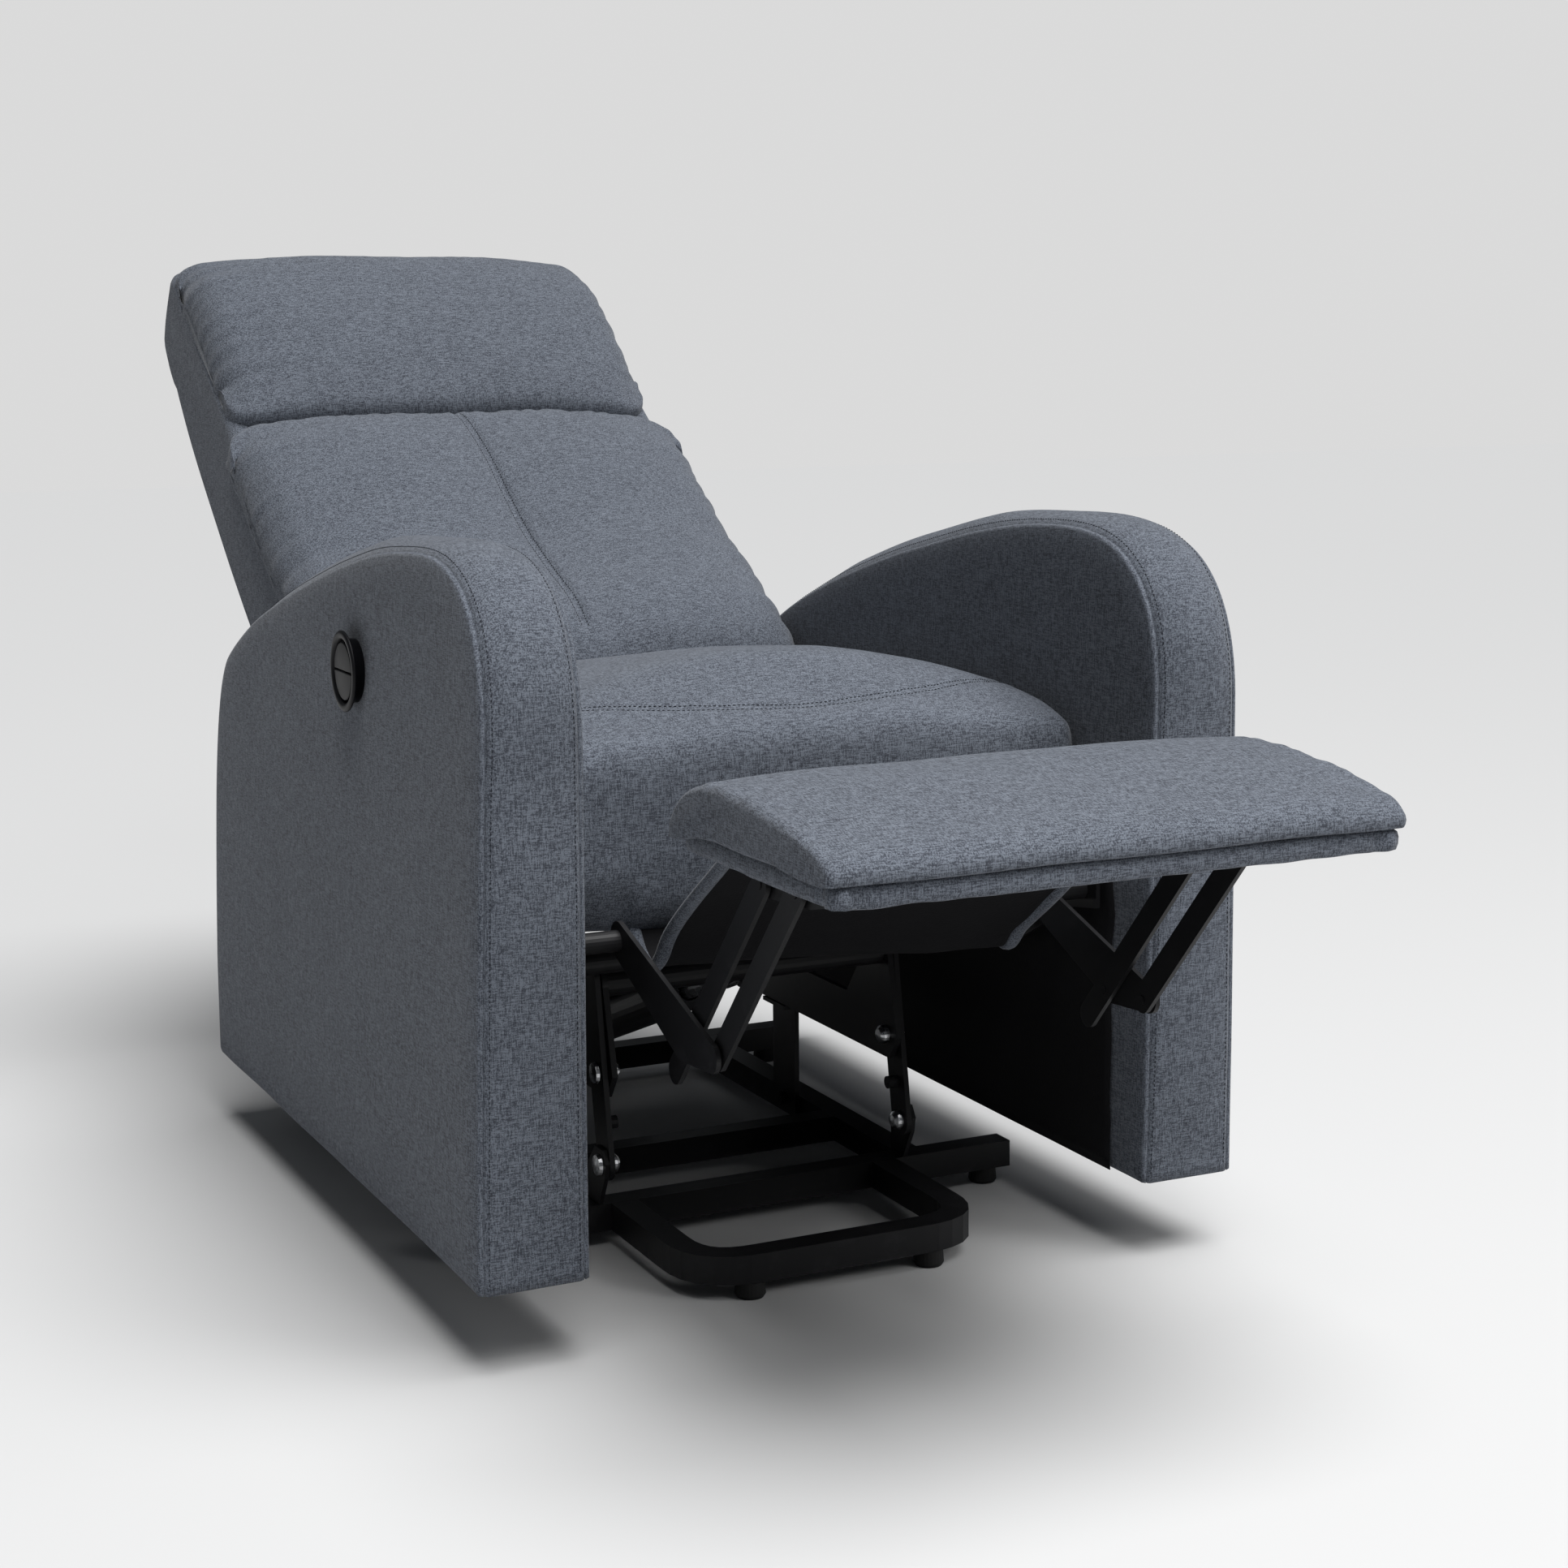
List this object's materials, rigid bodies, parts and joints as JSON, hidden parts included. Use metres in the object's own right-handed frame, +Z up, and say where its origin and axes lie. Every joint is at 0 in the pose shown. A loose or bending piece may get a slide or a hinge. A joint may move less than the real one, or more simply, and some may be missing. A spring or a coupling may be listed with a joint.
{
  "type": "recliner armchair",
  "caption": "Upholstered power-lift recliner armchair with curved padded arms, a leaning back, a scissor-link footrest and a tubular lift base.",
  "frame": {"origin": "centre of the bounding box on the floor", "axes": "+Z up, the chair faces -Y, +X is the viewer's right when facing the chair"},
  "size_m": [0.7032, 1.6548, 0.8972],
  "materials": {
    "upholstery": "heathered blue-grey linen-look woven polyester",
    "dust_cloth": "black non-woven dust cloth",
    "black_steel": "black satin powder coat",
    "zinc": "bright zinc plate",
    "foot_rubber": "matt black rubber",
    "plywood": "raw plywood",
    "switch_plastic": "glossy black moulded plastic",
    "motor_plastic": "fine-grained black moulded plastic"
  },
  "bodies": {
    "base": {"base_front_tube": "black_steel", "base_middle_tube": "black_steel", "base_rear_tube": "black_steel", "base_rail_L": "black_steel", "base_rail_R": "black_steel", "base_bumper": "black_steel", "foot_front_L": "foot_rubber", "foot_front_R": "foot_rubber", "foot_rear_L": "foot_rubber", "foot_rear_R": "foot_rubber", "foot_bumper_L": "foot_rubber", "foot_bumper_R": "foot_rubber", "base_bracket_L": "black_steel", "base_bracket_R": "black_steel", "lift_upright_L": "black_steel", "lift_upright_R": "black_steel", "lower_bolt_L": "zinc", "lower_bolt_R": "zinc", "lift_pivot_bolt_L": "zinc", "lift_pivot_bolt_R": "zinc", "rest_post_L": "black_steel", "rest_post_R": "black_steel", "actuator_clevis": "black_steel"},
    "lift_arms": {"lift_arm_L": "black_steel", "lift_arm_R": "black_steel", "lift_cross_tube": "black_steel"},
    "carriage": {"side_plate_L": "black_steel", "side_plate_R": "black_steel", "lift_hanger_L": "black_steel", "lift_hanger_R": "black_steel", "front_cross_tube": "black_steel", "rear_cross_tube": "black_steel", "seat_front_rail": "plywood", "seat_rear_rail": "plywood", "seat_deck": "dust_cloth", "seat_cushion": "upholstery", "seat_apron": "upholstery", "armrest_L": "upholstery", "armrest_R": "upholstery", "switch_bezel": "switch_plastic", "footrest_web": "upholstery"},
    "recline_switch": {"recline_button": "switch_plastic"},
    "lift_switch": {"lift_button": "switch_plastic"},
    "footrest_crank": {"footrest_crank_L": "black_steel", "footrest_crank_R": "black_steel"},
    "footrest_rear_bars": {"footrest_rear_bar_L": "black_steel", "footrest_rear_bar_R": "black_steel"},
    "footrest_front_bars": {"footrest_front_bar_L": "black_steel", "footrest_front_bar_R": "black_steel"},
    "footrest": {"footrest_bracket_L": "black_steel", "footrest_bracket_R": "black_steel", "footrest_board": "plywood", "footrest_pad": "upholstery"},
    "back": {"back_bracket_L": "black_steel", "back_bracket_R": "black_steel", "lumbar_cushion": "upholstery", "headrest_cushion": "upholstery", "back_shell": "upholstery"},
    "actuator_motor": {"actuator_housing": "motor_plastic"},
    "actuator_piston": {"actuator_rod": "zinc"}
  },
  "joints": [
    {"name": "lift", "type": "hinge", "parent": "base", "child": "lift_arms", "pos_m": [0.00165, -0.20344, 0.158], "axis": [1, 0, 0], "range_deg": [0, 50]},
    {"name": "seat_tilt", "type": "hinge", "parent": "lift_arms", "child": "carriage", "pos_m": [0.00165, 0.18157, 0.158], "axis": [1, 0, 0], "range_deg": [-22.2, 0]},
    {"name": "footrest", "type": "hinge", "parent": "carriage", "child": "footrest_crank", "pos_m": [0.00165, -0.37544, 0.318], "axis": [1, 0, 0], "range_deg": [0, 90], "deforming": ["footrest_web"]},
    {"name": "footrest_rear_bar", "type": "hinge", "parent": "footrest_crank", "child": "footrest_rear_bars", "pos_m": [0.00165, -0.49744, 0.26], "axis": [1, 0, 0], "range_deg": [-112.7, 0]},
    {"name": "footrest_front_bar", "type": "hinge", "parent": "footrest_crank", "child": "footrest_front_bars", "pos_m": [0.00165, -0.55544, 0.264], "axis": [1, 0, 0], "range_deg": [-112.7, 0]},
    {"name": "footrest_pad", "type": "hinge", "parent": "footrest_rear_bars", "child": "footrest", "pos_m": [0.00165, -0.63243, 0.412], "axis": [1, 0, 0], "range_deg": [0, 112.7]},
    {"name": "back", "type": "hinge", "parent": "carriage", "child": "back", "pos_m": [0.00165, 0.21657, 0.44], "axis": [1, 0, 0], "range_deg": [0, 38]},
    {"name": "actuator_swing", "type": "hinge", "parent": "base", "child": "actuator_motor", "pos_m": [0.00165, 0.23456, 0.072], "axis": [1, 0, 0], "range_deg": [0, 1.2]},
    {"name": "actuator_stroke", "type": "slide", "parent": "actuator_motor", "child": "actuator_piston", "axis": [0, -0.9349, 0.3548], "range_m": [0, 0.0662]},
    {"name": "recline_press", "type": "slide", "parent": "carriage", "child": "recline_switch", "axis": [1, 0, 0], "range_m": [0, 0.0025], "stiffness_N_per_m": 400, "springref_m": -0.002},
    {"name": "lift_press", "type": "slide", "parent": "carriage", "child": "lift_switch", "axis": [1, 0, 0], "range_m": [0, 0.0025], "stiffness_N_per_m": 400, "springref_m": -0.002}
  ],
  "couplings": [
    {"joint": "seat_tilt", "follows": "lift", "ratio": -0.44},
    {"joint": "actuator_swing", "follows": "lift", "ratio": 0.02198},
    {"joint": "actuator_stroke", "follows": "lift", "m_per_rad": 0.0753},
    {"joint": "footrest_rear_bar", "follows": "footrest", "ratio": -1.25},
    {"joint": "footrest_front_bar", "follows": "footrest", "ratio": -1.25},
    {"joint": "footrest_pad", "follows": "footrest", "ratio": 1.25}
  ]
}
